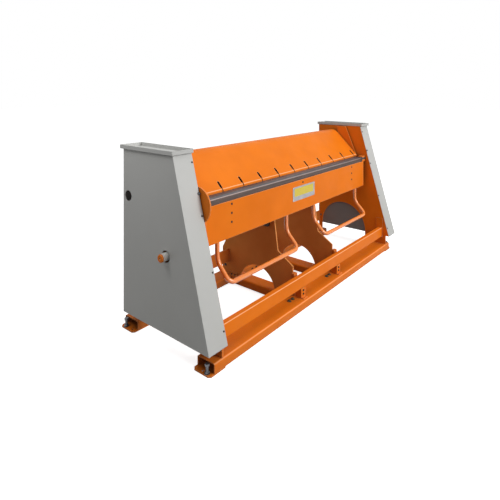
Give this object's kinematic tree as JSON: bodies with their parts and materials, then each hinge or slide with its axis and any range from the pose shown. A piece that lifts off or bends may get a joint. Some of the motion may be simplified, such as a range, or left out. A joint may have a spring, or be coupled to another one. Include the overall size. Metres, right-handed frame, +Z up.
{
  "type": "manual sheet metal folding machine",
  "caption": "Manual sheet metal bending machine: clamping beam over a bladed table, swinging folding beam with two tube handles, foot bar and grey side covers on a low base frame.",
  "frame": {"origin": "on the floor, midway between the four anchor holes in the foot plates", "axes": "+X along the bending line to the operator's right, -Y towards the operator, +Z up"},
  "size_m": [2.507, 0.81, 1.1484],
  "materials": {
    "orange_paint": "satin orange enamel, light orange peel",
    "grey_paint": "light grey fine-texture powder coat",
    "blade_steel": "ground tool steel, grinding lines along the blade",
    "machined_steel": "turned steel",
    "zinc_plated_steel": "bright zinc plating",
    "spring_steel": "oiled black spring steel",
    "bronze": "bearing bronze",
    "rubber": "black rubber",
    "white_scale": "white plastic scale with red graduation"
  },
  "bodies": {
    "stand": {"front_base_channel": "orange_paint", "rear_base_channel": "orange_paint", "cross_members": "orange_paint", "foot_plates": "orange_paint", "levelling_bolts": "zinc_plated_steel", "side_plate_left": "orange_paint", "side_plate_right": "orange_paint", "arch_guards": "grey_paint", "centre_ribs": "orange_paint", "rib_foot_angles": "orange_paint", "rib_foot_bolts": "zinc_plated_steel", "rear_stretcher": "orange_paint", "lower_beam": "orange_paint", "lower_blade": "blade_steel", "lower_blade_bolts": "zinc_plated_steel", "guide_plates": "orange_paint", "folding_pins": "machined_steel", "shaft_bushes": "bronze", "treadle_pins": "machined_steel", "stop_posts": "orange_paint", "post_risers": "orange_paint", "post_buffers": "rubber", "post_bolts": "zinc_plated_steel", "side_cover_left": "grey_paint", "side_cover_right": "grey_paint", "lid_tray_left": "grey_paint", "lid_tray_right": "grey_paint", "cover_screws": "zinc_plated_steel"},
    "folding_beam": {"folding_plate": "orange_paint", "folding_blade": "blade_steel", "folding_stiffener": "orange_paint", "plate_bolts": "zinc_plated_steel", "folding_end_plate_left": "orange_paint", "folding_end_plate_right": "orange_paint", "folding_hubs": "orange_paint", "angle_disc": "orange_paint", "handle_left": "orange_paint", "handle_right": "orange_paint"},
    "clamping_beam": {"clamp_skin": "orange_paint", "clamp_base_plate": "orange_paint", "clamp_end_plate_left": "orange_paint", "clamp_end_plate_right": "orange_paint", "clamp_ribs": "orange_paint", "upper_blade": "blade_steel", "blade_bolts": "zinc_plated_steel", "clamp_shafts": "machined_steel", "clamp_lever_left": "machined_steel", "clamp_lever_right": "machined_steel"},
    "treadle": {"treadle_bar": "orange_paint", "treadle_arm_left": "orange_paint", "treadle_arm_right": "orange_paint", "treadle_shields": "orange_paint"},
    "pull_rods_pair": {"pull_rods": "machined_steel", "clamp_springs": "spring_steel"},
    "rest_stop": {"stop_shaft": "machined_steel", "scale_sleeve": "white_scale", "stop_knob": "orange_paint"}
  },
  "joints": [
    {"name": "folding_beam_swing", "type": "hinge", "parent": "stand", "child": "folding_beam", "pos_m": [0, -0.165, 0.832], "axis": [-1, 0, 0], "range_deg": [0, 135]},
    {"name": "clamping_beam_lift", "type": "hinge", "parent": "stand", "child": "clamping_beam", "pos_m": [0, 0.275, 0.845], "axis": [-1, 0, 0], "range_deg": [0, 7.6]},
    {"name": "treadle_swing", "type": "hinge", "parent": "stand", "child": "treadle", "pos_m": [0, 0.302, 0.21], "axis": [-1, 0, 0], "range_deg": [0, 6.95]},
    {"name": "pull_rod_swing", "type": "hinge", "parent": "clamping_beam", "child": "pull_rods_pair", "pos_m": [0, -0.025, 0.845], "axis": [-1, 0, 0], "range_deg": [-7.35, 0]},
    {"name": "rest_stop_turn", "type": "hinge", "parent": "stand", "child": "rest_stop", "pos_m": [0, -0.07, 0.563], "axis": [1, 0, 0], "range_deg": [0, 150]}
  ],
  "couplings": [
    {"joint": "treadle_swing", "follows": "clamping_beam_lift", "ratio": 0.9141},
    {"joint": "pull_rod_swing", "follows": "clamping_beam_lift", "ratio": -0.9664}
  ]
}
